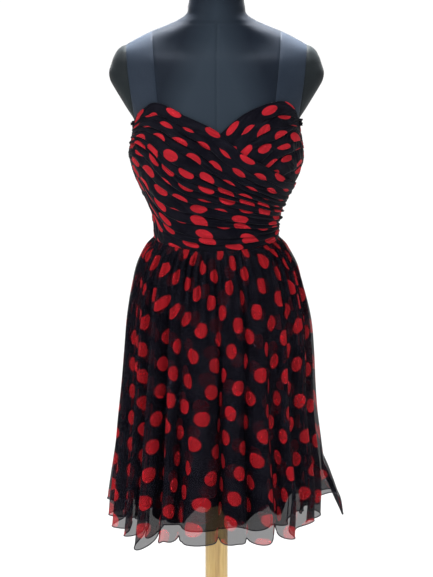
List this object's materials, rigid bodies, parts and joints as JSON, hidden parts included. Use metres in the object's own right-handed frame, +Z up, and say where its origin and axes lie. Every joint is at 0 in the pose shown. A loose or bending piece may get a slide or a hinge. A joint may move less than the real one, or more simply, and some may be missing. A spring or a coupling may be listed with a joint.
{
  "type": "strapless dress on a limbless dress form with a stand",
  "caption": "Strapless knee-length dress with a draped crossover bodice and a gathered, layered sheer skirt, worn by a limbless dress form on a round-footed stand.",
  "frame": {"origin": "on the floor, at the centre of the stand's foot", "axes": "+Z up along the pole, the dress faces -Y, +X is on the viewer's right"},
  "size_m": [0.4779, 0.4062, 1.53],
  "materials": {
    "dotted_chiffon": "black pleated chiffon with red polka dots, soft matte",
    "sheer_chiffon": "sheer black chiffon with red polka dots, soft matte",
    "lining": "opaque black lining, faint sheen",
    "form_cloth": "charcoal navy jersey, matte",
    "wood": "pale satin pine"
  },
  "bodies": {
    "root": {"bodice_wrap": "dotted_chiffon", "bodice_cup": "dotted_chiffon", "bodice_back_left": "dotted_chiffon", "bodice_back_right": "dotted_chiffon", "skirt_outer_front": "sheer_chiffon", "skirt_outer_back": "sheer_chiffon", "skirt_second_front": "sheer_chiffon", "skirt_second_back": "sheer_chiffon", "skirt_lining_front": "lining", "skirt_lining_back": "lining", "form_body": "form_cloth", "pole": "wood", "base": "wood"}
  },
  "joints": []
}
